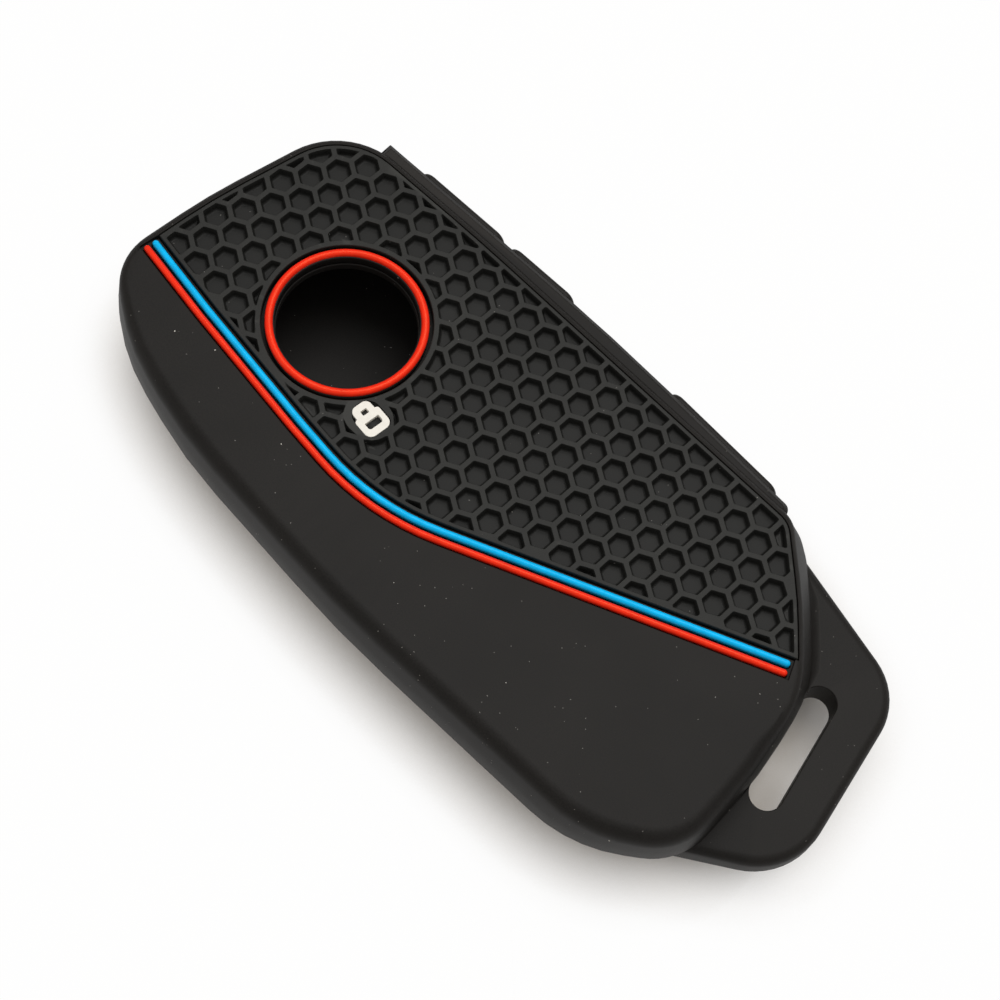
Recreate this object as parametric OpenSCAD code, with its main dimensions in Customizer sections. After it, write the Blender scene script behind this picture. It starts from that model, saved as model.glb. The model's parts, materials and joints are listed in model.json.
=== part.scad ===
// Moulded key fob cover with a ribbed panel, a ringed window, two stripes, three side pads and a keyring strap.
// Millimetres, +Z out of the front face. The cover lies on its back, with the window towards +Y.

/* [Cover] */
// Length of the moulded body's front outline, without the strap
body_length = 90; // [86:1:94]
// Width of the moulded body's front outline
body_width = 44; // [42:1:46]
// Height of the cover from its back to its front face
cover_height = 15; // [14:0.5:17]
// Height of the mould's parting line, where the body is widest
parting_height = 9; // [8:0.5:10]
// Depth of the front wall, from its face to the fob's space
front_wall = 2.6; // [2.4:0.1:3]
// Thickness of the side walls
side_wall = 1.8; // [1.6:0.1:2]
// Thickness of the back wall
back_wall = 1.6; // [1.4:0.1:2]
// Radius of the soft edge round the front face
front_edge = 1; // [0.6:0.1:1.2]
// How far the back curves in from the widest line
back_curve = 4.6; // [4.2:0.2:5]

/* [Honeycomb panel] */
// Thickness of the panel
panel_thickness = 1.5; // [1.3:0.1:1.6]
// Depth of each cell below the panel's face
cell_depth = 1; // [0.6:0.1:1]
// Distance between the middles of two neighbouring cells
cell_pitch = 3.3; // [3.1:0.1:3.6]
// Width of the ribs between the cells
rib_width = 0.62; // [0.5:0.02:0.8]
// Width of the plain rim round the cells
rim_width = 0.6; // [0.5:0.05:0.9]
// Tilt of the rows of cells
cell_tilt = 26.5; // [20:0.5:33]
// Width of the fine gap round the panel
panel_gap = 0.12; // [0.08:0.01:0.2]

/* [Window] */
// Radius of the window's bore through the front wall
window_radius = 8; // [7.6:0.1:8.2]
// Width of the round bead in its ring
ring_width = 1.07; // [0.9:0.01:1.2]
// Height of the ring's crown above the panel
ring_rise = 0.3; // [0.2:0.1:0.6]
// Gap between the ring and the panel's collar
ring_gap = 0.46; // [0.2:0.02:0.5]
// Width of the panel's plain collar round the ring
collar_width = 0.62; // [0.5:0.02:0.8]

/* [Stripes] */
// Width of each stripe's bead
stripe_width = 0.78; // [0.7:0.02:0.8]
// Distance between the middles of the two stripes
stripe_pitch = 1.12; // [1.1:0.02:1.2]
// Height of the beads' crowns above the front face
stripe_rise = 0.25; // [0.1:0.05:0.4]
// Depth of the channel that both beads lie in
channel_depth = 0.5; // [0.3:0.1:0.6]
// Depth of each bead's seat below the front face
stripe_depth = 1.1; // [0.9:0.1:1.3]
// Gap between a bead and its seat
stripe_gap = 0.06; // [0.04:0.01:0.08]
// Radius of the stripes' bend
bend_radius = 30; // [26:1:34]
// Width of the plain rim between the window's collar and the stripes' channel
stripe_clearance = 0.18; // [0.1:0.01:0.8]

/* [Side pads] */
// How far the rail under the pads stands out from the front outline at its upper end
rail_rise = 1.6; // [1.4:0.1:1.8]
// Height of the pads along Z
pad_height = 8.4; // [7.6:0.2:8.6]
// Length of the upper pad
upper_pad_length = 13; // [12:0.5:13]
// Length of the middle pad
middle_pad_length = 10; // [9:0.5:10]
// Length of the lower pad
lower_pad_length = 16.6; // [15:0.2:18]
// Distance between the upper and the middle pad
pad_spacing = 0.9; // [0.7:0.1:1.5]
// How far a pad stands out from the rail
pad_rise = 0.8; // [0.6:0.1:1]
// How far a pad travels when it is pressed
pad_travel = 0.6; // [0.4:0.1:0.6]
// Gap between a pad and the wall round it
pad_gap = 0.15; // [0.1:0.01:0.2]

/* [Keyring strap] */
// Thickness of the strap
strap_thickness = 4.2; // [3.6:0.2:4.6]
// Radius of the strap's soft edges
strap_edge = 1.2; // [0.8:0.1:1.4]
// Length of the keyring slot over its round ends
slot_length = 15.8; // [13:0.2:16]
// Width of the keyring slot
slot_width = 3.8; // [3:0.1:4]
// Tilt of the keyring slot
slot_tilt = 10.5; // [8:0.5:12]

/* [Back opening] */
// Length of the opening that the fob goes in through
opening_length = 36; // [30:1:37]
// Width of the opening that the fob goes in through
opening_width = 31.2; // [28:0.2:31.6]
// Radius of the opening's corners
opening_corner = 8; // [6:0.5:10]

/* [Hidden] */
$fn = 96;

silicone_colour = "#2b2a28";
panel_colour = "#33322f";
pad_colour = "#3a3936";
red_colour = "#f2331f";
blue_colour = "#1fa6ee";

// Plan places are measured from the window's middle. Each outline corner has its place along X as a share
// of the body's width, its place along Y as a share of the body's length, and its radius as a share of the
// width. The corners run anticlockwise from the upper right one.
body_corner_shares = [
    [0.4318, 0.2022, 0.2136],
    [0.0114, 0.2511, 1.59],
    [-0.2795, 0.2689, 0.168],
    [-0.4227, 0.1778, 0.59],
    [-0.5045, 0.041, 1.36],
    [-0.5636, -0.24, 3.4],
    [-0.5705, -0.6444, 0.4],
    [-0.434, -0.74, 0.18],
    [-0.17, -0.74, 1.1],
    [0.0636, -0.72, 0.33],
    [0.2386, -0.6478, 1.3],
    [0.393, -0.57, 0.09],
    [0.4311, -0.039, 5.6]];
strap_corner_shares = [
    [0.407, -0.578, 0.02],
    [0.02, -0.5, 0.02],
    [-0.457, -0.689, 0.02],
    [-0.257, -0.851, 0.193],
    [0.282, -0.807, 0.17]];

// Each of these lists has one value for each side of the body's outline, from the upper right corner on.
// How far each side stands out at the parting line
side_spread = [0.4, 0.4, 0.4, 0.3, 0.45, 0.6, 0.05, 0.3, 0.6, 2, 2.2, 1.1, 0.9];
// How far the panel's edge lies in from each side
panel_inset = [1.1, 1.1, 0.9, 0.6, 0.6, 0.6, 0.85, 0.85, 0.85, 0.85, 0.85, 1, 1];

// Rings in each quarter of a round edge
edge_steps = 4;
// The back below the parting line: share of the parting height, and share of the back's inward curve
back_shares = [[0, 1], [0.03, 0.86], [0.08, 0.74], [0.16, 0.62], [0.3, 0.47], [0.5, 0.3], [0.75, 0.14]];
// The fob's space below the parting line, in the same shares, with its floor on the back wall
space_back_shares = [[0, 1.15], [0.03, 0.85], [0.12, 0.55], [0.3, 0.3], [0.55, 0.1]];
// How much of the outward spread the wall has at the middle of its height
bulge_share = 0.62;
space_edge = 1.4;

arc_step = 7;
small_radius = 0.1;
overrun = 1;

// Stripe path, from its upper end. The corners beside the window have their place along X as a share of the
// distance at which the path passes the window, the last one as a share of the body's width. All have their
// place along Y as a share of the body's length.
stripe_beside_shares = [[-0.7125, 0.2444], [-1, 0.04], [-1.23, -0.1927]];
stripe_end_shares = [0.0848, -0.6811];
// How much of the run between the two bends the upper bend takes up
upper_bend_share = 0.4;
channel_right_side = 0.5;
channel_left_side = 0.2;
channel_end = 0.35;
bend_step = 4;
crown_steps = 8;
// How far round a bead's end its last ring lies
end_turn = 80;

// Where one cell's middle lies, and how much of a cell may lie past the field's edge before it is left plain
cell_start_shares = [0.0418, 0.165];
least_cell_share = 0.45;

// Sign island beside the collar, bare of any sign: its middle as shares, and its half sizes
island_shares = [-0.1545, -0.109];
island_half_width = 2.45;
island_half_height = 2.9;

// Places along the rail as shares of the body's length, from its lower end up, each with how far the rail's
// face stands out there as a share of its rise
rail_shares = [[-0.5578, 0.64], [-0.2444, 1.24], [0.1433, 1]];
rail_top_drop = 0.7;
rail_edge = 0.65;
// Flat strip of the rail's face above and below the pads
rail_land = 0.1;
rail_corner = 1;
rail_bend_radius = 300;
upper_pad_share = 0.0167;
lower_pad_share = -0.4389;
pad_corner = 1.5;
pad_edge = 0.5;
pad_pocket = 1.5;
pad_spare = 0.15;
stem_height = 3.6;
stem_length_share = 0.6;
foot_lip = 0.7;
foot_thickness = 0.7;
foot_seat = 0.15;

slot_shares = [-0.0182, -0.7506];
opening_shares = [-0.0705, -0.389];

rail_top = cover_height - rail_top_drop;
pad_level = rail_top - rail_edge - rail_land - pad_gap - pad_height / 2;
rail_low = pad_level - pad_height / 2 - pad_gap - rail_land - rail_edge;
panel_floor = cover_height - panel_thickness;
space_top = cover_height - front_wall;
ring_inner = window_radius + panel_gap;
ring_outer = ring_inner + ring_width;
ring_seat = ring_outer + ring_gap;
collar_outer = ring_seat + collar_width;
channel_right = stripe_width / 2 + channel_right_side;
channel_left = stripe_pitch + stripe_width / 2 + channel_left_side;
stripe_beside = collar_outer + stripe_clearance + channel_right;
strap_top = parting_height;
pad_lengths = [upper_pad_length, middle_pad_length, lower_pad_length];

function unit(v) = v / norm(v);
function place(share) = [share[0] * body_width, share[1] * body_length];
function corners_of(shares) = [for (s = shares) [place(s), s[2] * body_width]];
function spot(corners, i) = corners[(i + len(corners)) % len(corners)][0];
function side_normal(corners, i) =
    let (d = unit(spot(corners, i + 1) - spot(corners, i))) [d.y, -d.x];

// The corners after side i has moved outwards by out[i]
function moved(corners, out) = [for (i = [0 : len(corners) - 1]) let (
    before = (i + len(corners) - 1) % len(corners),
    n1 = side_normal(corners, before),
    n2 = side_normal(corners, i),
    a = spot(corners, i) * n1 + out[before],
    b = spot(corners, i) * n2 + out[i],
    det = n1.x * n2.y - n1.y * n2.x)
    [[(a * n2.y - b * n1.y) / det, (b * n1.x - a * n2.x) / det],
     max(small_radius, corners[i][1] + (out[before] + out[i]) / 2)]];
function grown(corners, by) = moved(corners, [for (c = corners) by]);

// The round corner i as points, at least three of them
function corner_arc(corners, i) = let (
    p = spot(corners, i),
    a = unit(spot(corners, i - 1) - p),
    b = unit(spot(corners, i + 1) - p),
    half = acos(a * b) / 2,
    radius = corners[i][1],
    middle = p + unit(a + b) * radius / sin(half),
    start = p + a * radius / tan(half) - middle,
    first = atan2(start.y, start.x),
    sweep = 180 - 2 * half,
    steps = max(2, round(sweep / arc_step)))
    [for (k = [0 : steps]) middle + radius * [cos(first + sweep * k / steps), sin(first + sweep * k / steps)]];
function outline(corners) = [for (i = [0 : len(corners) - 1]) each corner_arc(corners, i)];
function ring_at(corners, z) = [for (p = outline(corners)) [p.x, p.y, z]];

body_corners = corners_of(body_corner_shares);
strap_corners = corners_of(strap_corner_shares);
wide_corners = moved(body_corners, side_spread);
strap_points = outline(strap_corners);
wide_points = outline(wide_corners);

// The two straight right sides carry the rail: the upper one from the last corner, the lower one before it
upper_side = len(body_corners) - 1;
lower_side = upper_side - 1;
function on_side(side, y, out) = let (
    p = spot(body_corners, side),
    n = side_normal(body_corners, side),
    x = p.x + (out - (y - p.y) * n.y) / n.x)
    [x, y];
function side_at(y) = y > spot(body_corners, upper_side).y ? upper_side : lower_side;

function wall_x(y, out) = on_side(side_at(y), y, out).x;

// The rail's outline, from its lower inner corner on, and the two sides that the pads stand on
rail_ys = [for (s = rail_shares) s[0] * body_length];
rail_faces = [for (i = [0 : 2]) [wall_x(rail_ys[i], rail_rise * rail_shares[i][1]), rail_ys[i]]];
rail_corners = [
    [[0, rail_ys[0]], small_radius],
    [rail_faces[0], rail_corner],
    [rail_faces[1], rail_bend_radius],
    [rail_faces[2], small_radius],
    [[0, rail_ys[2]], small_radius]];
function rail_side(y) = y > rail_ys[1] ? 2 : 1;
function on_rail(y) = let (
    p = spot(rail_corners, rail_side(y)),
    n = side_normal(rail_corners, rail_side(y)))
    [p.x - (y - p.y) * n.y / n.x, y];
upper_pad_y = upper_pad_share * body_length;
pad_ys = [
    upper_pad_y,
    upper_pad_y - (upper_pad_length + middle_pad_length) / 2 - pad_spacing,
    lower_pad_share * body_length];
pad_reach = on_rail(pad_ys[0]).x + pad_rise;
plan_low = [min([for (p = wide_points) p.x]), min([for (p = strap_points) p.y])];
plan_high = [pad_reach, max([for (p = wide_points) p.y])];
plan_middle = (plan_low + plan_high) / 2;

// A closed skin over rings of points that run anticlockwise, from the lowest ring up
module skin(rings) {
    n = len(rings[0]);
    top = (len(rings) - 1) * n;
    polyhedron(
        points = [for (ring = rings) each ring],
        faces = concat(
            [[for (i = [0 : n - 1]) i]],
            [for (k = [0 : len(rings) - 2], i = [0 : n - 1])
                [k * n + i, (k + 1) * n + i, (k + 1) * n + (i + 1) % n, k * n + (i + 1) % n]],
            [[for (i = [n - 1 : -1 : 0]) top + i]]));
}

// Everything is drawn from the window's middle and then set over the middle of the whole cover
module in_place() {
    translate([-plan_middle.x, -plan_middle.y, 0]) children();
}

module body_shell() {
    back_rings = [for (s = back_shares)
        ring_at(grown(wide_corners, -back_curve * s[1]), parting_height * s[0])];
    wall_rings = [
        ring_at(wide_corners, parting_height),
        ring_at(moved(body_corners, side_spread * bulge_share),
                (parting_height + cover_height - front_edge) / 2)];
    edge_rings = [for (k = [0 : edge_steps]) let (turn = 90 * k / edge_steps)
        ring_at(grown(body_corners, -front_edge * (1 - cos(turn))),
                cover_height - front_edge * (1 - sin(turn)))];
    skin(concat(back_rings, wall_rings, edge_rings));
}

module fob_space() {
    depth = parting_height - back_wall;
    back_rings = [for (s = space_back_shares)
        ring_at(grown(body_corners, -side_wall - back_curve * s[1]), back_wall + depth * s[0])];
    top_rings = [for (k = [0 : edge_steps]) let (turn = 90 * k / edge_steps)
        ring_at(grown(body_corners, -side_wall - space_edge * (1 - cos(turn))),
                space_top - space_edge * (1 - sin(turn)))];
    skin(concat(back_rings, top_rings));
}

module rounded_plate(length, width, corner, height) {
    linear_extrude(height) {
        square([length - 2 * corner, width], center = true);
        square([length, width - 2 * corner], center = true);
        for (x = [-1, 1], y = [-1, 1])
            translate([x * (length / 2 - corner), y * (width / 2 - corner)]) circle(corner);
    }
}

module slot_prism() {
    reach = (slot_length - slot_width) / 2;
    middle = place(slot_shares);
    translate([middle.x, middle.y, strap_top - strap_thickness - overrun]) rotate(slot_tilt)
        linear_extrude(strap_thickness + 2 * overrun) {
            square([2 * reach, slot_width], center = true);
            for (x = [-reach, reach]) translate([x, 0]) circle(slot_width / 2);
        }
}

module strap() {
    rings = concat(
        [for (k = [0 : edge_steps]) let (turn = 90 * k / edge_steps)
            ring_at(grown(strap_corners, -strap_edge * (1 - sin(turn))),
                    strap_top - strap_thickness + strap_edge * (1 - cos(turn)))],
        [for (k = [0 : edge_steps]) let (turn = 90 * k / edge_steps)
            ring_at(grown(strap_corners, -strap_edge * (1 - cos(turn))),
                    strap_top - strap_edge * (1 - sin(turn)))]);
    difference() {
        skin(rings);
        slot_prism();
    }
}

// The raised rail along the right wall, which carries the pads
module rail() {
    skin([
        ring_at(grown(rail_corners, -rail_edge), rail_low),
        ring_at(rail_corners, rail_low + rail_edge),
        ring_at(rail_corners, rail_top - rail_edge),
        ring_at(grown(rail_corners, -rail_edge), rail_top)]);
}

// Pads: local X runs along the rail, local Y up the wall and local Z out of it, from the rail's face
module at_pad(i) {
    p = on_rail(pad_ys[i]);
    n = side_normal(rail_corners, rail_side(pad_ys[i]));
    translate([p.x, p.y, pad_level]) rotate(atan2(n.y, n.x)) rotate([90, 0, 90]) children();
}

// Where a pad's foot meets the inside of the wall, from the rail's face
function inner_face(i) = wall_x(pad_ys[i], -side_wall) - on_rail(pad_ys[i]).x + foot_seat;

module pad_hole(i) {
    length = pad_lengths[i];
    stem = length * stem_length_share;
    foot_z = inner_face(i) - foot_thickness;
    at_pad(i) {
        translate([0, 0, -pad_pocket])
            rounded_plate(length + 2 * pad_gap, pad_height + 2 * pad_gap, pad_corner + pad_gap,
                          pad_pocket + overrun);
        translate([0, 0, foot_z])
            rounded_plate(stem + 2 * pad_gap, stem_height + 2 * pad_gap, stem_height / 2, -inner_face(i));
        translate([0, 0, foot_z - overrun])
            rounded_plate(stem + 2 * foot_lip + 4 * pad_gap, stem_height + 2 * foot_lip + 4 * pad_gap,
                          pad_corner, foot_thickness + overrun);
    }
}

module side_pad(i) {
    length = pad_lengths[i];
    stem = length * stem_length_share;
    foot_z = inner_face(i) - foot_thickness;
    plate_low = -pad_pocket + pad_travel + pad_spare;
    plate = [for (side = [[1, 1], [-1, 1], [-1, -1], [1, -1]])
        [[side.x * length / 2, side.y * pad_height / 2], pad_corner]];
    at_pad(i) {
        skin(concat(
            [ring_at(plate, plate_low)],
            [for (k = [0 : edge_steps]) let (turn = 90 * k / edge_steps)
                ring_at(grown(plate, -pad_edge * (1 - cos(turn))), pad_rise - pad_edge * (1 - sin(turn)))]));
        translate([0, 0, foot_z])
            rounded_plate(stem, stem_height, stem_height / 2 - pad_gap, plate_low - foot_z + pad_spare);
        translate([0, 0, foot_z])
            rounded_plate(stem + 2 * foot_lip, stem_height + 2 * foot_lip, pad_corner - 2 * pad_gap,
                          foot_thickness);
    }
}

// The stripes' path runs down the face from its upper end, along the blue stripe's middle. Each inner
// corner is an arc between straight runs, and aside is a distance from the path towards the panel.
stripe_path = concat(
    [for (s = stripe_beside_shares) [s[0] * stripe_beside, s[1] * body_length]],
    [place(stripe_end_shares)]);
upper_bend_reach = upper_bend_share * norm(stripe_path[2] - stripe_path[1]);
function left_of(run) = let (d = unit(run[1] - run[0])) [-d.y, d.x];
function bend(i) = let (
    back = unit(stripe_path[i - 1] - stripe_path[i]),
    ahead = unit(stripe_path[i + 1] - stripe_path[i]),
    half = acos(back * ahead) / 2,
    radius = i == 1 ? upper_bend_reach * tan(half) : bend_radius,
    reach = radius / tan(half),
    middle = stripe_path[i] + unit(back + ahead) * radius / sin(half),
    arm = stripe_path[i] + back * reach - middle)
    [middle, radius, atan2(arm.y, arm.x), 180 - 2 * half, reach * back, reach * ahead];
bends = [for (i = [1, 2]) bend(i)];
runs = [
    [stripe_path[0], stripe_path[1] + bends[0][4]],
    [stripe_path[1] + bends[0][5], stripe_path[2] + bends[1][4]],
    [stripe_path[2] + bends[1][5], stripe_path[3]]];

// Places along the path, each with its heading
function stripe_frames(aside) = concat(
    [[runs[0][0] + aside * left_of(runs[0]), unit(runs[0][1] - runs[0][0])]],
    [for (b = bends) let (steps = ceil(b[3] / bend_step)) each [for (k = [0 : steps]) let (
        t = b[2] + b[3] * k / steps)
        [b[0] + (b[1] - aside) * [cos(t), sin(t)], [-sin(t), cos(t)]]]],
    [[runs[2][1] + aside * left_of(runs[2]), unit(runs[2][1] - runs[2][0])]]);

// The edge of a band along the path, its first and last points moved past the path's ends
function band_edge(aside, past = 0) = let (frames = stripe_frames(aside), last = len(frames) - 1)
    [for (i = [0 : last]) frames[i][0] + frames[i][1] * (i == 0 ? -past : i == last ? past : 0)];
function reversed(points) = [for (i = [len(points) - 1 : -1 : 0]) points[i]];

// The half circle round one end of a band, without its own ends, from a first angle to the heading on
function end_arc(frame, radius, first) = let (steps = 2 * edge_steps, left = [-frame[1].y, frame[1].x])
    [for (k = [1 : steps - 1]) let (t = first - 180 * k / steps)
        frame[0] + radius * (cos(t) * frame[1] + sin(t) * left)];

// The plan of everything on the panel's side of the path, from aside on
module panel_side(aside) {
    far = body_width;
    edge = [for (f = stripe_frames(aside)) f[0]];
    first = edge[0] - far * unit(runs[0][1] - runs[0][0]);
    last = edge[len(edge) - 1] + far * unit(runs[2][1] - runs[2][0]);
    polygon(concat([first], edge, [last, [2 * far, last.y], [2 * far, first.y]]));
}

// How far a place lies inside the panel's edge, its rim left out: negative outside
function inside_sides(p) = min([for (i = [0 : len(body_corners) - 1])
    (spot(body_corners, i) - p) * side_normal(body_corners, i) - panel_inset[i]]);
function turn_of(p, b) = let (turn = atan2(p.y - b[0].y, p.x - b[0].x) - b[2]) turn < 0 ? turn + 360 : turn;
function inside_stripe(p) = min(concat(
    [for (run = runs) (p - run[0]) * left_of(run)],
    [for (b = bends) turn_of(p, b) < b[3] ? b[1] - norm(p - b[0]) : body_width]));
function island_reach(p) = let (
    q = p - place(island_shares),
    rise = max(0, abs(q.y) - (island_half_height - island_half_width)))
    norm([q.x, rise]) - island_half_width;
function cell_depth_in(p) = min(
    inside_sides(p) - rim_width,
    inside_stripe(p) - channel_right - rim_width,
    norm(p) - collar_outer,
    island_reach(p));

cell_flats = cell_pitch - rib_width;
cell_reach = cell_flats / 2 / cos(30);
cell_span = ceil(body_length / cell_pitch);
cells = [for (i = [-cell_span : cell_span], j = [-cell_span : cell_span]) let (
    p = place(cell_start_shares) + cell_pitch * (i * [cos(cell_tilt), sin(cell_tilt)]
        + j * [cos(cell_tilt + 60), sin(cell_tilt + 60)]))
    if (cell_depth_in(p) > -least_cell_share * cell_reach) p];

module cell(p) {
    translate(p) rotate(cell_tilt + 30) circle(cell_reach, $fn = 6);
}

module panel_plan(gap) {
    intersection() {
        polygon(outline(moved(body_corners, [for (d = panel_inset) gap - d])));
        panel_side(channel_right - gap);
    }
}

// The part of the panel that cells may open into
module cell_field() {
    island = place(island_shares);
    difference() {
        intersection() {
            polygon(outline(moved(body_corners, [for (d = panel_inset) -rim_width - d])));
            panel_side(channel_right + rim_width);
        }
        circle(collar_outer);
        translate(island) square([2 * island_half_width, 2 * (island_half_height - island_half_width)],
                                 center = true);
        for (side = [-1, 1])
            translate(island + [0, side * (island_half_height - island_half_width)])
                circle(island_half_width);
    }
}

module cell_plan() {
    for (p = cells) if (cell_depth_in(p) >= cell_reach) cell(p);
    intersection() {
        for (p = cells) if (cell_depth_in(p) < cell_reach) cell(p);
        cell_field();
    }
}

module bead_profile(width, base, crown) {
    translate([-width / 2, base]) square([width, crown - width / 2 - base]);
    translate([0, crown - width / 2]) circle(width / 2, $fn = 32);
}

// A bead along the path with a round crown and round ends
module stripe(aside) {
    base = cover_height - stripe_depth;
    half = stripe_width / 2;
    middle = cover_height + stripe_rise - half;
    frames = stripe_frames(aside);
    last = len(frames) - 1;
    function bead_ring(frame, turn) = let (left = [-frame[1].y, frame[1].x], r = half * cos(turn)) [
        for (v = concat([[r, base]], [for (k = [0 : crown_steps]) let (t = 180 * k / crown_steps)
            [r * cos(t), middle + r * sin(t)]], [[-r, base]]))
        let (p = frame[0] + frame[1] * half * sin(turn) + left * v[0]) [p.x, p.y, v[1]]];
    skin(concat(
        [for (k = [edge_steps : -1 : 1]) bead_ring(frames[0], -end_turn * k / edge_steps)],
        [for (f = frames) bead_ring(f, 0)],
        [for (k = [1 : edge_steps]) bead_ring(frames[last], end_turn * k / edge_steps)]));
}

// A bead's seat, cut as one outline with round ends
module stripe_seat(aside) {
    half = stripe_width / 2 + stripe_gap;
    frames = stripe_frames(aside);
    translate([0, 0, cover_height - stripe_depth]) linear_extrude(stripe_depth + overrun)
        polygon(concat(band_edge(aside + half), end_arc(frames[len(frames) - 1], half, 90),
                       reversed(band_edge(aside - half)), end_arc(frames[0], half, -90)));
}

module channel() {
    past = stripe_width / 2 + channel_end;
    translate([0, 0, cover_height - channel_depth]) linear_extrude(channel_depth + overrun)
        polygon(concat(band_edge(channel_right, past), reversed(band_edge(-channel_left, past))));
}

module back_opening() {
    middle = place(opening_shares);
    translate([middle.x, middle.y, -overrun])
        rounded_plate(opening_width, opening_length, opening_corner, back_wall + 2 * overrun);
}

module cover_body() {
    color(silicone_colour) in_place() difference() {
        union() {
            body_shell();
            rail();
            strap();
        }
        fob_space();
        back_opening();
        translate([0, 0, panel_floor]) linear_extrude(panel_thickness + overrun) panel_plan(panel_gap);
        translate([0, 0, space_top - overrun]) cylinder(r = window_radius, h = front_wall);
        channel();
        stripe_seat(0);
        stripe_seat(-stripe_pitch);
        for (i = [0 : len(pad_lengths) - 1]) pad_hole(i);
    }
}

module honeycomb_panel() {
    color(panel_colour) in_place() translate([0, 0, panel_floor]) difference() {
        linear_extrude(panel_thickness) difference() {
            panel_plan(0);
            circle(ring_seat);
        }
        translate([0, 0, panel_thickness - cell_depth]) linear_extrude(cell_depth + overrun) cell_plan();
    }
}

module window_ring() {
    color(red_colour) in_place() rotate_extrude() translate([ring_inner + ring_width / 2, 0])
        bead_profile(ring_width, panel_floor, cover_height + ring_rise);
}

module blue_stripe() {
    color(blue_colour) in_place() stripe(0);
}

module red_stripe() {
    color(red_colour) in_place() stripe(-stripe_pitch);
}

module upper_side_pad() {
    color(pad_colour) in_place() side_pad(0);
}

module middle_side_pad() {
    color(pad_colour) in_place() side_pad(1);
}

module lower_side_pad() {
    color(pad_colour) in_place() side_pad(2);
}

cover_body();
honeycomb_panel();
window_ring();
blue_stripe();
red_stripe();
upper_side_pad();
middle_side_pad();
lower_side_pad();
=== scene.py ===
"""Looks of a moulded key fob cover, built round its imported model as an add-on with one operator for each piece."""
import json
import math

import bmesh
import bpy
import numpy as np
from bpy.props import FloatProperty, FloatVectorProperty, PointerProperty, StringProperty
from mathutils import Matrix, Vector
from mathutils.geometry import delaunay_2d_cdt

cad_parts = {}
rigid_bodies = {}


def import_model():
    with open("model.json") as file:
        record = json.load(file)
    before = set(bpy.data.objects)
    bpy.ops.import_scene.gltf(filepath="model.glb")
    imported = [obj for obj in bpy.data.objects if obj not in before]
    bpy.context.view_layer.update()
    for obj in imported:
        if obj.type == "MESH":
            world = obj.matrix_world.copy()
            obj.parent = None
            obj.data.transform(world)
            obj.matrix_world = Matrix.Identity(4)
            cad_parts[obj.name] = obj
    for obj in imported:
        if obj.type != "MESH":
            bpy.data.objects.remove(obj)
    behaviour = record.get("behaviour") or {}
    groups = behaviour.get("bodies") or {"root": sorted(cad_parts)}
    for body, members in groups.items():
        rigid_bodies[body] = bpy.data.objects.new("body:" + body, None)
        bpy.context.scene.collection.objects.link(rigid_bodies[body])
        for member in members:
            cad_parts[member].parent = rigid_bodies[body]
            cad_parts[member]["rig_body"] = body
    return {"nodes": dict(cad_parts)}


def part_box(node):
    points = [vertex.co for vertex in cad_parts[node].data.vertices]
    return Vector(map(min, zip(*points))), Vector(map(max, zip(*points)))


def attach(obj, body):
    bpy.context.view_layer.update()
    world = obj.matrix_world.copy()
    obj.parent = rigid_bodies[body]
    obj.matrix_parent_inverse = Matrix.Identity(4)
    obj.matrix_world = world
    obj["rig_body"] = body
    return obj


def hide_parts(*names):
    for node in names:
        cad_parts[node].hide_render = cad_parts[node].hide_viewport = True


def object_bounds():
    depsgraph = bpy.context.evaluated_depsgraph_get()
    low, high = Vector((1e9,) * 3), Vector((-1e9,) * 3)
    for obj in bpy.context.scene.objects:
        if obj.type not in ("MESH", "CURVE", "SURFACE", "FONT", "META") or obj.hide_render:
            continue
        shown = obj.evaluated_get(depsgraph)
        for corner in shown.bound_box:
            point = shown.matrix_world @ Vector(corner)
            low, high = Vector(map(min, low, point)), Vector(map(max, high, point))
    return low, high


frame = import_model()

bl_info = {
    "name": "Key Fob Cover",
    "version": (1, 0, 0),
    "blender": (4, 5, 0),
    "location": "View3D > Sidebar > Key Cover",
    "description": "Builds the pieces and finishes of a moulded silicone key fob cover",
    "category": "Add Mesh",
}

MM = 0.001
WELD = 0.001 * MM  # Points closer than this are one point
SHARP = math.radians(35)  # Edges bent further than this are rounded, or kept sharp
LENGTH = {"precision": 5, "unit": "LENGTH"}
WINDOW_STEPS = 160  # Steps of a circle round the window
CAD_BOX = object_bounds()
WINDOW = sum(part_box("window_ring"), Vector()) / 2
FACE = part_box("honeycomb_panel")[1].z
SIDE_PADS = ("upper_side_pad", "middle_side_pad", "lower_side_pad")


# Sizes and colours that a user would change

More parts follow.
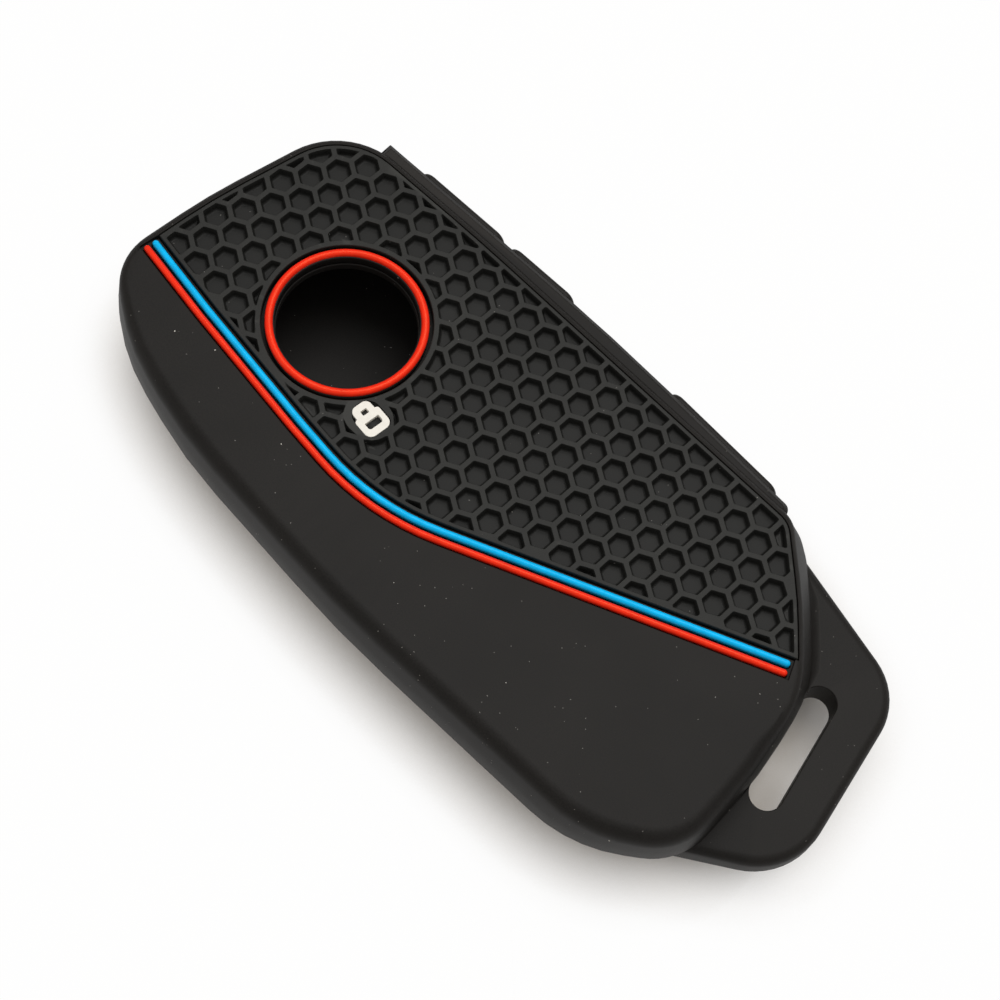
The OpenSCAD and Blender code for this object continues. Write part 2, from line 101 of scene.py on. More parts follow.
class CoverSizes(bpy.types.PropertyGroup):
    """Sizes of the cover's fine shapes"""
    cell_pitch: FloatProperty(name="Cell pitch", description="Distance between the middles of two neighbouring cells",
                              default=3.3 * MM, **LENGTH)
    rib_width: FloatProperty(name="Rib width", description="Width of the ribs between the cells",
                             default=0.62 * MM, **LENGTH)
    cell_tilt: FloatProperty(name="Cell tilt", description="Tilt of the rows of cells",
                             default=math.radians(26.5), subtype="ANGLE")
    least_cell: FloatProperty(name="Least cell", description="How far a cell's inmost point has to lie inside it",
                              default=0.16 * MM, **LENGTH)
    first_cell: FloatVectorProperty(name="First cell", description="Middle of one cell, from the window's middle",
                                    default=(1.839 * MM, 14.85 * MM), size=2, **LENGTH)
    rim_width: FloatProperty(name="Rim width", description="Width of the plain rim round the cells",
                             default=0.45 * MM, **LENGTH)
    collar_radius: FloatProperty(name="Collar radius", description="Outer radius of the collar round the window",
                                 default=10.27 * MM, **LENGTH)
    island_middle: FloatVectorProperty(name="Island middle", description="Middle of the island, from the window's",
                                       default=(-6.798 * MM, -9.81 * MM), size=2, **LENGTH)
    island_half: FloatVectorProperty(name="Island half sizes", description="Half width and half height of the island",
                                     default=(2.45 * MM, 2.9 * MM), size=2, **LENGTH)
    rib_round: FloatProperty(name="Rib round", description="Radius of the ribs' soft upper edges",
                             default=0.06 * MM, **LENGTH)
    cell_draft: FloatProperty(name="Cell draft", description="How far a cell's walls lean in down to its floor",
                              default=0.12 * MM, **LENGTH)
    cell_fillet: FloatProperty(name="Cell fillet", description="Radius between a cell's walls and its floor",
                               default=0.34 * MM, **LENGTH)
    panel_round: FloatProperty(name="Panel round", description="Radius of the soft edge round the panel",
                               default=0.12 * MM, **LENGTH)
    front_edge: FloatProperty(name="Front edge", description="Radius round the front face, as in the model",
                              default=1.0 * MM, **LENGTH)
    wide_edge: FloatProperty(name="Wide edge", description="Radius of the edge beside the plain face",
                             default=1.9 * MM, **LENGTH)
    edge_fade: FloatVectorProperty(name="Edge fade", description="Distances from the trim at which the edge widens",
                                   default=(3.0 * MM, 8.5 * MM), size=2, **LENGTH)
    strap_top: FloatProperty(name="Strap top", description="Height of the strap's upper side, as in the model",
                             default=9.0 * MM, **LENGTH)
    strap_fillet: FloatProperty(name="Strap fillet", description="Radius between the wall and the strap",
                                default=1.3 * MM, **LENGTH)
    channel_depth: FloatProperty(name="Channel depth", description="Depth of the stripes' channel, as in the model",
                                 default=0.5 * MM, **LENGTH)
    shell_round: FloatProperty(name="Shell round", description="Radius of the shell's finest edges",
                               default=0.1 * MM, **LENGTH)
    pad_round: FloatProperty(name="Pad round", description="Radius of the side pads' finest edges",
                             default=0.1 * MM, **LENGTH)
    ring_width: FloatProperty(name="Ring width", description="Width of the ring with its lip, as in the model",
                              default=1.07 * MM, **LENGTH)
    ring_bead: FloatProperty(name="Ring bead", description="Width of the ring's red bead",
                             default=0.92 * MM, **LENGTH)
    sign_rise: FloatProperty(name="Sign rise", description="Height of the padlock sign above the panel",
                             default=0.04 * MM, **LENGTH)
    sign_depth: FloatProperty(name="Sign depth", description="Depth of the recess that the sign lies in",
                              default=0.5 * MM, **LENGTH)
    sign_gap: FloatProperty(name="Sign gap", description="Width of the gap round the sign",
                            default=0.1 * MM, **LENGTH)
    sign_middle: FloatVectorProperty(name="Sign middle", description="Middle of the padlock sign, from the window's",
                                     default=(-6.81 * MM, -9.965 * MM), size=2, **LENGTH)
    sign_tilt: FloatProperty(name="Sign tilt", description="Tilt of the padlock sign",
                             default=math.radians(-7.7), subtype="ANGLE")


class CoverColours(bpy.types.PropertyGroup):
    """Colours of the cover's materials, as sRGB hex values"""
    shell: StringProperty(name="Shell", description="Black silicone of the shell", default="#1C1A18")
    panel: StringProperty(name="Panel", description="Black silicone of the panel", default="#272725")
    pads: StringProperty(name="Side pads", description="Black silicone of the side pads", default="#1C1A18")
    red: StringProperty(name="Red", description="Red silicone of the ring and the lower stripe", default="#FF2C14")
    blue: StringProperty(name="Blue", description="Blue silicone of the upper stripe", default="#04C0FF")
    sign: StringProperty(name="Sign", description="Warm white of the padlock sign", default="#FAF5EB")
    dust: StringProperty(name="Dust", description="Pale lint on the silicone", default="#D6D2CA")
    floor: StringProperty(name="Floor", description="Pale warm floor", default="#E4DACD")


class CoverStage(bpy.types.PropertyGroup):
    """Camera, floor and lamps"""
    camera_place: FloatVectorProperty(name="Camera place", description="Where the camera stands",
                                      default=(-81.625 * MM, -48.693 * MM, 234.4 * MM), **LENGTH)
    camera_right: FloatVectorProperty(name="Camera right", description="Direction to the right of the view",
                                      default=(0.673, -0.735, 0.085), subtype="DIRECTION")
    camera_up: FloatVectorProperty(name="Camera up", description="Upward direction of the view",
                                   default=(0.659, 0.648, 0.381), subtype="DIRECTION")
    lens: FloatProperty(name="Lens", description="Focal length in millimetres on a 36 mm wide sensor", default=79.16)
    key_power: FloatProperty(name="Key power", description="Power of the large soft lamp", default=1.8, unit="POWER")
    rim_power: FloatProperty(name="Rim power", description="Power of the low side lamp", default=0.12, unit="POWER")
    fill: FloatProperty(name="Fill", description="Strength of the soft light from straight above", default=0.7)
    low_fill: FloatProperty(name="Low fill", description="Strength of the soft light from the sides", default=0.12)


# Colours and nodes

def linear(hex_colour):
    """An sRGB hex value as linear RGBA."""
    parts = [int(hex_colour[i:i + 2], 16) / 255 for i in (1, 3, 5)]
    return [p / 12.92 if p <= 0.04045 else ((p + 0.055) / 1.055) ** 2.4 for p in parts] + [1.0]


def add_node(tree, kind, settings=None, links=None):
    """Adds one node, sets its properties or inputs by name, and links its inputs from other nodes' outputs."""
    node = tree.nodes.new(kind)
    for name, value in (settings or {}).items():
        if isinstance(name, str) and hasattr(node, name):
            setattr(node, name, value)
        else:
            node.inputs[name].default_value = value
    for name, (source, output) in (links or {}).items():
        tree.links.new(source.outputs[output], node.inputs[name])
    return node


def new_material(name):
    material = bpy.data.materials.new(name)
    material.use_nodes = True
    tree = material.node_tree
    tree.nodes.clear()
    return material, tree


def silicone(name, colour, dust_colour, roughness, grain_mm, dust_share, painted_shade_tone=1.0):
    """Black silicone rubber, compression moulded in a blasted mould: matt, with a fine even grain, faint cloudy
    tone and the pale lint and dust that always cling to it. Convex edges get a painted highlight, a lighter
    tint, and sunk floors a painted shade, a darker tone."""
    material, tree = new_material(name)
    place = add_node(tree, "ShaderNodeTexCoord")
    cloud = add_node(tree, "ShaderNodeTexNoise", {"Scale": 1 / (14 * MM), "Detail": 3.0, "Roughness": 0.6},
                     {"Vector": (place, "Object")})
    # The blasted grain is about 0.05 mm in reality and is drawn coarser, so that it shows
    grain = add_node(tree, "ShaderNodeTexNoise", {"Scale": 1 / (grain_mm * MM), "Detail": 2.0, "Roughness": 0.7},
                     {"Vector": (place, "Object")})
    # Painted highlight: convex edges, found by their pointiness, get a lighter tint of the base colour
    edge = add_node(tree, "ShaderNodeNewGeometry")
    painted_edge_highlight = add_node(tree, "ShaderNodeMapRange", {"From Min": 0.51, "From Max": 0.6, "To Min": 0.0, "To Max": 1.0},
                    {"Value": (edge, "Pointiness")})
    base = linear(colour)
    soft_tone = add_node(tree, "ShaderNodeMapRange", {"From Min": 0.3, "From Max": 0.7, "To Min": 0.86,
                                                     "To Max": 1.14}, {"Value": (cloud, "Fac")})
    fine_tone = add_node(tree, "ShaderNodeMapRange", {"From Min": 0.3, "From Max": 0.7, "To Min": 0.6, "To Max": 1.4},
                         {"Value": (grain, "Fac")})
    shade = add_node(tree, "ShaderNodeMath", {"operation": "MULTIPLY"},
                     {0: (soft_tone, "Result"), 1: (fine_tone, "Result")})
    # Painted shade: below the face the tone darkens down towards the sunk floors
    height = add_node(tree, "ShaderNodeSeparateXYZ", links={"Vector": (place, "Object")})
    sunk = add_node(tree, "ShaderNodeMapRange", {"From Min": FACE - 0.8 * MM, "From Max": FACE - 0.1 * MM,
                                                "To Min": painted_shade_tone, "To Max": 1.0}, {"Value": (height, "Z")})
    tone = add_node(tree, "ShaderNodeMath", {"operation": "MULTIPLY"}, {0: (shade, "Value"), 1: (sunk, "Result")})
    tinted = add_node(tree, "ShaderNodeVectorMath", {"operation": "SCALE", 0: base[:3]}, {"Scale": (tone, "Value")})
    # The painted edge highlight mixed in: 1.8 times the base colour on convex edges
    surface = add_node(tree, "ShaderNodeMix", {"data_type": "RGBA", 7: [min(1.0, c * 1.8) for c in base[:3]] + [1.0]},
                       {0: (painted_edge_highlight, "Result"), 6: (tinted, "Vector")})
    # Lint in flecks of 0.1 to 0.2 mm, bent by a fine noise, and finer dust that gathers in drifts
    drift = add_node(tree, "ShaderNodeTexNoise", {"Scale": 1 / (0.5 * MM), "Detail": 1.0},
                     {"Vector": (place, "Object")})
    bent = add_node(tree, "ShaderNodeVectorMath", {"operation": "MULTIPLY_ADD", 1: [0.3 * MM] * 3},
                    {0: (drift, "Color"), 2: (place, "Object")})
    layers = ((1.5, 0.06, 1.8 * dust_share, 0.9), (0.45, 0.12, 2.6 * dust_share, 0.3))
    for spacing_mm, reach, share, strength in layers:
        fleck = add_node(tree, "ShaderNodeTexVoronoi", {"Scale": 1 / (spacing_mm * MM), "Randomness": 1.0},
                         {"Vector": (bent, "Vector")})
        near = add_node(tree, "ShaderNodeMath", {"operation": "LESS_THAN", 1: reach}, {0: (fleck, "Distance")})
        few = add_node(tree, "ShaderNodeSeparateColor", links={"Color": (fleck, "Color")})
        limit = add_node(tree, "ShaderNodeMapRange", {"From Min": 0.4, "From Max": 0.65, "To Min": 0.0,
                                                     "To Max": share}, {"Value": (cloud, "Fac")})
        chosen = add_node(tree, "ShaderNodeMath", {"operation": "LESS_THAN"}, {0: (few, "Red"), 1: (limit, "Result")})
        lint = add_node(tree, "ShaderNodeMath", {"operation": "MULTIPLY"}, {0: (near, "Value"), 1: (chosen, "Value")})
        seen = add_node(tree, "ShaderNodeMath", {"operation": "MULTIPLY", 1: strength}, {0: (lint, "Value")})
        surface = add_node(tree, "ShaderNodeMix", {"data_type": "RGBA", 7: linear(dust_colour)},
                           {0: (seen, "Value"), 6: (surface, 2)})
    gloss = add_node(tree, "ShaderNodeMapRange", {"From Min": 0.3, "From Max": 0.7, "To Min": roughness - 0.05,
                                                 "To Max": roughness + 0.05}, {"Value": (grain, "Fac")})
    bump = add_node(tree, "ShaderNodeBump", {"Strength": 0.3, "Distance": 0.02 * MM}, {"Height": (grain, "Fac")})
    shader = add_node(tree, "ShaderNodeBsdfPrincipled", {"IOR": 1.41, "Specular IOR Level": 0.25},
                      {"Base Color": (surface, 2), "Roughness": (gloss, "Result"), "Normal": (bump, "Normal")})
    add_node(tree, "ShaderNodeOutputMaterial", links={"Surface": (shader, "BSDF")})
    return material


def smooth_finish(name, colour, wave_mm, tones, looks, bump=0.0):
    """A finish without grain, whose tone and, with a bump, whose surface waver softly."""
    material, tree = new_material(name)
    place = add_node(tree, "ShaderNodeTexCoord")
    wave = add_node(tree, "ShaderNodeTexNoise", {"Scale": 1 / (wave_mm * MM), "Detail": 2.0},
                    {"Vector": (place, "Object")})
    shade = add_node(tree, "ShaderNodeMapRange", {"From Min": 0.3, "From Max": 0.7, "To Min": tones[0],
                                                 "To Max": tones[1]}, {"Value": (wave, "Fac")})
    tinted = add_node(tree, "ShaderNodeVectorMath", {"operation": "SCALE", 0: linear(colour)[:3]},
                      {"Scale": (shade, "Result")})
    links = {"Base Color": (tinted, "Vector")}
    if bump:
        swell = add_node(tree, "ShaderNodeBump", {"Strength": bump, "Distance": 0.02 * MM}, {"Height": (wave, "Fac")})
        links["Normal"] = (swell, "Normal")
    shader = add_node(tree, "ShaderNodeBsdfPrincipled", looks, links)
    add_node(tree, "ShaderNodeOutputMaterial", links={"Surface": (shader, "BSDF")})
    return material


def coloured_silicone(name, colour, glint):
    """Pigmented silicone bead, pressed in a polished mould: satin, with soft long highlights and slight waviness."""
    looks = {"IOR": 1.41, "Roughness": 0.26, "Specular IOR Level": 0.6, "Specular Tint": linear(glint)}
    return smooth_finish(name, colour, 1.5, (0.93, 1.07), looks, bump=0.3)


def pad_print_ink(name, colour):
    """Warm white pad-printing ink: smooth, half matt and slightly uneven in thickness."""
    return smooth_finish(name, colour, 0.4, (0.94, 1.0), {"IOR": 1.5, "Roughness": 0.55})


def pale_floor(name, colour):
    """Matt warm white card. Seen straight or in a reflection it is white, but it keeps the shadow under and close
    to the cover."""
    material, tree = new_material(name)
    card = add_node(tree, "ShaderNodeBsdfDiffuse", {"Color": linear(colour)})
    white = add_node(tree, "ShaderNodeEmission", {"Color": (1.0, 1.0, 1.0, 1.0), "Strength": 1.0})
    ray = add_node(tree, "ShaderNodeLightPath")
    straight = add_node(tree, "ShaderNodeMath", {"operation": "ADD", "use_clamp": True},
                        {0: (ray, "Is Camera Ray"), 1: (ray, "Is Glossy Ray")})
    any_way = add_node(tree, "ShaderNodeMath", {"operation": "ADD", "use_clamp": True},
                       {0: (straight, "Value"), 1: (ray, "Is Transmission Ray")})
    openness = add_node(tree, "ShaderNodeAmbientOcclusion", {"samples": 8, "Distance": 9 * MM})
    share = add_node(tree, "ShaderNodeMapRange", {"From Min": 0.35, "From Max": 0.9, "To Min": 0.0, "To Max": 0.98},
                     {"Value": (openness, "AO")})
    seen = add_node(tree, "ShaderNodeMath", {"operation": "MULTIPLY"}, {0: (any_way, "Value"), 1: (share, "Result")})
    both = add_node(tree, "ShaderNodeMixShader",
                    links={0: (seen, "Value"), 1: (card, "BSDF"), 2: (white, "Emission")})
    add_node(tree, "ShaderNodeOutputMaterial", links={"Surface": (both, "Shader")})
    return material


# Mesh helpers

def placed(name, data):
    """A new object in the scene."""
    item = bpy.data.objects.new(name, data)
    bpy.context.scene.collection.objects.link(item)
    return item


def welded_copy(node, name):
    """A new object with the node's mesh, its doubled points joined."""
    mesh = frame["nodes"][node].data.copy()
    mesh.name = name
    if "custom_normal" in mesh.attributes:
        mesh.attributes.remove(mesh.attributes["custom_normal"])
    bm = bmesh.new()
    bm.from_mesh(mesh)
    bmesh.ops.remove_doubles(bm, verts=bm.verts, dist=WELD)
    bm.to_mesh(mesh)
    bm.free()
    mesh.materials.clear()
    return placed(name, mesh)


def soften(piece, radius):
    """Rounds the sharp edges and shades the rest smoothly."""
    piece.data.shade_smooth()
    bm = bmesh.new()
    bm.from_mesh(piece.data)
    for edge in bm.edges:
        edge.smooth = not (edge.is_manifold and edge.calc_face_angle() > SHARP)
    bm.to_mesh(piece.data)
    bm.free()
    bevel = piece.modifiers.new("Soft edges", "BEVEL")
    bevel.width = radius
    bevel.segments = 2
    bevel.limit_method = "ANGLE"
    bevel.angle_limit = SHARP
    bevel.use_clamp_overlap = False
    bevel.harden_normals = False
    level = piece.modifiers.new("Even shading", "WEIGHTED_NORMAL")
    level.keep_sharp = True
    return piece


def mesh_piece(name, points, faces):
    """A new object from points and faces, shaded smoothly."""
    mesh = bpy.data.meshes.new(name)
    mesh.from_pydata([tuple(p) for p in points], [], faces)
    mesh.validate()
    mesh.shade_smooth()
    return placed(name, mesh)


def flat_loops(node, height):
    """The edges of a node's upward flats at one height, as closed loops of plan points."""
    mesh = frame["nodes"][node].data
    count = len(mesh.vertices)
    places = np.zeros(count * 3)
    mesh.vertices.foreach_get("co", places)
    places = places.reshape(-1, 3)
    keys = {}
    which = [keys.setdefault(tuple(np.round(p / WELD).astype(int)), i) for i, p in enumerate(places)]
    used = {}  # Keeps its order, so that every run gives the same loops
    for polygon in mesh.polygons:
        if polygon.normal.z > 0.99 and abs(polygon.center.z - height) < 10 * WELD:
            ids = [which[v] for v in polygon.vertices]
            for a, b in zip(ids, ids[1:] + ids[:1]):
                if (b, a) in used:
                    del used[(b, a)]
                else:
                    used[(a, b)] = True
    after = {a: b for a, b in used}
    loops = []
    while after:
        start, here = after.popitem()
        loop = [start]
        while here != start:
            loop.append(here)
            here = after.pop(here)
        loops.append(places[loop][:, :2])
    return loops


def loop_area(loop):
    x, y = loop[:, 0], loop[:, 1]
    return 0.5 * float(np.sum(x * np.roll(y, -1) - y * np.roll(x, -1)))


def resampled(loop, step):
    """Points along a closed loop, its own corners kept, at most a step apart."""
    points = []
    for a, b in zip(loop, np.roll(loop, -1, axis=0)):
        parts = max(1, math.ceil(np.linalg.norm(b - a) / step))
        points += [a + (b - a) * k / parts for k in range(parts)]
    return np.array(points)


def mitres(loop, least):
    """The inward mitre at each point of an anticlockwise loop, shorter at corners sharper than the least allows."""
    ahead = np.roll(loop, -1, axis=0) - loop
    ahead /= np.linalg.norm(ahead, axis=1)[:, None]
    back = np.roll(ahead, 1, axis=0)
    inward = np.stack([-ahead[:, 1] - back[:, 1], ahead[:, 0] + back[:, 0]], 1)
    return inward * (2 / np.maximum(np.sum(inward ** 2, axis=1), least))[:, None]


def inset(loop, by):
    """An anticlockwise loop drawn inwards."""
    return loop + mitres(loop, 0.6) * by


def distance_to_edges(points, starts, ends):
    """Distance of each plan point to the nearest of some straight edges."""
    run = (ends - starts)[None]
    rel = points[:, None] - starts[None]
    share = np.clip(np.sum(rel * run, 2) / np.maximum(np.sum(run * run, 2), 1e-18), 0, 1)
    return np.sqrt(np.min(np.sum((rel - run * share[:, :, None]) ** 2, 2), axis=1))


def distance_to_loop(points, loop):
    return distance_to_edges(points, loop, np.roll(loop, -1, axis=0))


def is_inside(points, loop):
    """Which points lie inside a closed loop."""
    x, y = points[:, 0][:, None], points[:, 1][:, None]
    a, b = loop[None, :, :], np.roll(loop, -1, axis=0)[None, :, :]
    crosses = (a[..., 1] > y) != (b[..., 1] > y)
    slope = (b[..., 0] - a[..., 0]) / np.where(np.abs(b[..., 1] - a[..., 1]) < 1e-15, 1e-15, b[..., 1] - a[..., 1])
    return (np.sum(crosses & (x < a[..., 0] + (y - a[..., 1]) * slope), axis=1) % 2) == 1


def give(piece, body, slot_name, material, *nodes):
    """Sets a piece's material and body, and hides the nodes that it stands for. Its slot name is not used."""
    piece.data.materials.clear()
    piece.data.materials.append(material)
    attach(piece, body)
    if nodes:
        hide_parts(*nodes)


# The shell

def widen_front_edge(piece, sizes):
    """Gives the front edge beside the plain face a wider round than the model's. It fades back to the model's own
    where the stripes and the panel come near the edge."""
    own, least_gain, step = sizes.front_edge, 0.01 * MM, 0.7 * MM
    bm = bmesh.new()
    bm.from_mesh(piece.data)
    level = FACE - own
    rim = [edge for edge in bm.edges if all(abs(v.co.z - level) < 2 * WELD for v in edge.verts)
           and all(abs(f.normal.z) < 0.99 for f in edge.link_faces)]
    ends = np.array([[v.co[:2] for v in edge.verts] for edge in rim])
    trim = flat_loops("honeycomb_panel", FACE) + flat_loops("cover_body", FACE - sizes.channel_depth)

    def from_edge(points):
        return distance_to_edges(points, ends[:, 0], ends[:, 1])

    def radius(points):
        clear = np.min([distance_to_loop(points, loop) for loop in trim], axis=0)
        share = np.clip((clear - sizes.edge_fade[0]) / (sizes.edge_fade[1] - sizes.edge_fade[0]), 0, 1)
        return own + (sizes.wide_edge - own) * share * share * (3 - 2 * share)

    def drop(points, wide):
        """How far a round of the given radius lies below the face."""
        short = np.clip(wide - from_edge(points), 0, wide)
        return wide - np.sqrt(wide * wide - short * short)

    flat = [f for f in bm.faces if f.normal.z > 0.999 and abs(f.calc_center_median().z - FACE) < 2 * WELD]
    inside = set(flat)
    border = [e for f in flat for e in f.edges if sum(g in inside for g in e.link_faces) == 1]
    # Its long edges are split where the round widens
    for edge in border:
        parts = math.ceil(edge.calc_length() / step)
        here, there = edge.verts
        if parts > 1 and radius(np.array([here.co[:2], there.co[:2]])).max() > own + least_gain:
            for left in range(parts, 1, -1):
                rest = next(e for e in here.link_edges if there in e.verts)
                here = bmesh.utils.edge_split(rest, here, 1 / left)[1]
    border = [e for f in flat for e in f.edges if sum(g in inside for g in e.link_faces) == 1]
    after = {}
    for edge in border:
        face = next(f for f in edge.link_faces if f in inside)
        for loop in face.loops:
            if loop.edge == edge:
                after[loop.vert] = loop.link_loop_next.vert
    ring = [border[0].verts[0]]
    while after[ring[-1]] != ring[0]:
        ring.append(after[ring[-1]])
    bmesh.ops.delete(bm, geom=flat, context="FACES_KEEP_BOUNDARY")
    plan = np.array([v.co[:2] for v in ring])
    # Rows of new points between the model's round and the wider one
    inward = mitres(plan, 0.8)
    at_edge = (np.abs(from_edge(plan) - own) < 0.06 * MM) & (radius(plan) > own + least_gain)
    points, edges = [Vector(q) / MM for q in plan], [(k, (k + 1) % len(plan)) for k in range(len(plan))]
    for past in np.linspace(0, sizes.wide_edge - own, 6)[1:]:
        last = None
        for k in np.where(at_edge)[0]:
            points.append(Vector(plan[k] + inward[k] * past) / MM)
            if last == k - 1:
                edges.append((len(points) - 2, len(points) - 1))
            last = k
    flat_points, _, triangles, origin, _, _ = delaunay_2d_cdt(points, edges, [], 1, 1e-6)
    place = [ring[o[0]] if o and o[0] < len(ring) else bm.verts.new((q.x * MM, q.y * MM, FACE))
             for q, o in zip(flat_points, origin)]
    for triangle in triangles:
        bm.faces.new([place[v] for v in triangle])
    # Every point of the round, old or new, takes its height from its distance to the edge
    high = [v for v in bm.verts if v.co.z > level - 2 * WELD]
    spots = np.array([v.co[:2] for v in high])
    wide = radius(spots)
    for v, r, before, now in zip(high, wide, drop(spots, own), drop(spots, wide)):
        if r > own + least_gain and abs(FACE - before - v.co.z) < 0.05 * MM:
            v.co.z = FACE - now
    bm.normal_update()
    bm.to_mesh(piece.data)
    bm.free()
    return piece


def strap_fillet(name, sizes):
    """A closed strip with a hollow round in the corner where the wall rises from the strap. It thins at both ends."""
    bm = bmesh.new()
    bm.from_mesh(frame["nodes"]["cover_body"].data)
    bmesh.ops.remove_doubles(bm, verts=bm.verts, dist=WELD)
    top, sunk, fade = sizes.strap_top, 0.12 * MM, 3.0 * MM
    links, outward = {}, {}
    for edge in bm.edges:
        if len(edge.link_faces) != 2 or any(abs(v.co.z - top) > 0.01 * MM for v in edge.verts):
            continue
        low, wall = sorted(edge.link_faces, key=lambda face: -face.normal.z)
        if low.normal.z > 0.99 and wall.normal.z < 0.6 and wall.calc_center_median().z > top + 0.05 * MM:
            a, b = edge.verts
            along = (b.co - a.co).normalized()
            way = Vector((-along.y, along.x, 0))
            way = way if way.dot(low.calc_center_median() - a.co) > 0 else -way
            lean = -wall.normal.z / max(0.05, wall.normal.dot(way))
            for here, there in ((a, b), (b, a)):
                links.setdefault(here, []).append(there)
                outward.setdefault(here, []).append((way, lean))
    # The junction's edges, chained, and the longest chain
    chains, left = [], set(links)
    for start in [v for v in links if len(links[v]) == 1]:
        if start in left:
            chain = [start]
            left.discard(start)
            while ahead := [v for v in links[chain[-1]] if v in left]:
                chain.append(ahead[0])
                left.discard(ahead[0])
            chains.append(chain)
    chain = max(chains, key=lambda c: sum((a.co - b.co).length for a, b in zip(c, c[1:])))
    line = np.array([v.co[:2] for v in chain])
    ways = np.array([(sum((w for w, _ in outward[v]), Vector())).normalized()[:2] for v in chain])
    leans = np.array([np.mean([k for _, k in outward[v]]) for v in chain])
    bm.free()
    run = np.concatenate([[0], np.cumsum(np.linalg.norm(np.diff(line, axis=0), axis=1))])
    along_chain = (line[:, 0], line[:, 1], ways[:, 0], ways[:, 1], leans)
    points, faces, count = [], [], 0
    for d in np.linspace(0, run[-1], max(8, math.ceil(run[-1] / (0.3 * MM)))):
        x, y, wx, wy, lean = (np.interp(d, run, row) for row in along_chain)
        share = min(1.0, min(d, run[-1] - d) / fade)
        r = sizes.strap_fillet * (0.2 + 0.8 * share * share * (3 - 2 * share))
        tilt = math.atan(-lean)
        reach = r * (1 / math.cos(tilt) - math.tan(tilt))
        profile = arc((reach, r), r, 270, 180 + math.degrees(tilt), 8)
        # Its other sides lie inside the wall and the strap
        upper = profile[-1]
        profile += [(upper[0] - sunk, upper[1] - 0.05 * MM), (-sunk, -sunk), (reach, -sunk)]
        count = len(profile)
        points += [(x + wx * a, y + wy * a, top + b) for a, b in profile]
    rows = len(points) // count
    for k in range(rows - 1):
        for i in range(count):
            j = (i + 1) % count
            faces.append((k * count + i, k * count + j, (k + 1) * count + j, (k + 1) * count + i))
    faces += [tuple(range(count))[::-1], tuple(range((rows - 1) * count, rows * count))]
    piece = mesh_piece(name, points, faces)
    bm = bmesh.new()
    bm.from_mesh(piece.data)
    bmesh.ops.recalc_face_normals(bm, faces=bm.faces)
    for edge in bm.edges:
        edge.smooth = edge.calc_face_angle(0) < SHARP
    bm.to_mesh(piece.data)
    bm.free()
    return piece


# The honeycomb panel

class Field:
    """Where cells may open: inside the panel's rim and outside the collar and the island."""

    def __init__(self, sizes, outline):
        self.outline = outline
        self.rim = sizes.rim_width
        self.collar = sizes.collar_radius
        self.window = np.array(WINDOW[:2])
        self.island = self.window + np.array(sizes.island_middle)
        self.half = np.array(sizes.island_half)

    def depth(self, points):
        """How far each point lies inside the field, negative outside."""
        edge = distance_to_loop(points, self.outline)
        edge = np.where(is_inside(points, self.outline), edge, -edge) - self.rim
        collar = np.linalg.norm(points - self.window, axis=1) - self.collar
        beside = np.abs(points - self.island)
        rise = np.maximum(0, beside[:, 1] - (self.half[1] - self.half[0]))
        island = np.hypot(beside[:, 0], rise) - self.half[0]
        return np.minimum(np.minimum(edge, collar), island)


def hexagon_depth(points, middle, apothem, tilt, round_by):
    """How far each point lies inside a hexagon with softly rounded corners."""
    rel = points - middle
    sides = [math.radians(60 * k) + tilt for k in range(6)]
    reach = np.stack([rel @ np.array([math.cos(a), math.sin(a)]) for a in sides], 1)
    soft = round_by * np.log(np.sum(np.exp(np.clip(reach / round_by, -60, 60)), axis=1))
    return apothem - soft


def cell_hubs(sizes, field):
    """The middle of each lattice cell that has room inside the rim, with its inmost point and that point's depth."""
    start = np.array(WINDOW[:2]) + np.array(sizes.first_cell)
    turns = (sizes.cell_tilt, sizes.cell_tilt + math.pi / 3)
    steps = [sizes.cell_pitch * np.array([math.cos(t), math.sin(t)]) for t in turns]
    apothem = (sizes.cell_pitch - sizes.rib_width) / 2
    line = np.linspace(-apothem, apothem, 25)
    tries = np.stack(np.meshgrid(line, line), -1).reshape(-1, 2)
    low, high = field.outline.min(axis=0), field.outline.max(axis=0)
    corner = 1.16 * apothem  # Just past the cell's corners
    across = range(-40, 41)  # Past the panel's far corners
    hubs = []
    for i in across:
        for j in across:
            middle = start + i * steps[0] + j * steps[1]
            if np.any(middle < low - apothem) or np.any(middle > high + apothem):
                continue
            if field.depth(np.array([middle]))[0] > corner:
                hubs.append((middle, middle, apothem, True))
                continue
            depths = cell_depth(sizes, field, middle, middle + tries)
            best = int(np.argmax(depths))
            if depths[best] > sizes.least_cell:
                hubs.append((middle, middle + tries[best], float(depths[best]), False))
    return hubs


def cell_depth(sizes, field, middle, points, whole=False):
    """How far each point lies inside one cell and, if the cell isn't whole, inside the field."""
    apothem, corner_round = (sizes.cell_pitch - sizes.rib_width) / 2, 0.035 * MM
    inner = hexagon_depth(points, middle, apothem, sizes.cell_tilt, corner_round)
    return inner if whole else np.minimum(inner, field.depth(points))


def cell_rings(sizes, field, middle, hub, deepest, whole, profile, rays):
    """Rings of plan points of one cell, one for each inset in its profile, found along rays from its inmost point."""
    turns = np.arange(rays) * 2 * math.pi / rays + sizes.cell_tilt
    ways = np.stack([np.cos(turns), np.sin(turns)], 1)
    rings = []
    for by in profile:
        by = min(by, 0.85 * deepest)  # Small cells keep their rings clear of their inmost point
        low, high = np.zeros(rays), np.full(rays, sizes.cell_pitch)
        for _ in range(22):  # Halved down to less than a nanometre
            half = (low + high) / 2
            inside = cell_depth(sizes, field, middle, hub + ways * half[:, None], whole) > by
            low, high = np.where(inside, half, low), np.where(inside, high, half)
        rings.append(hub + ways * low[:, None])
    return rings


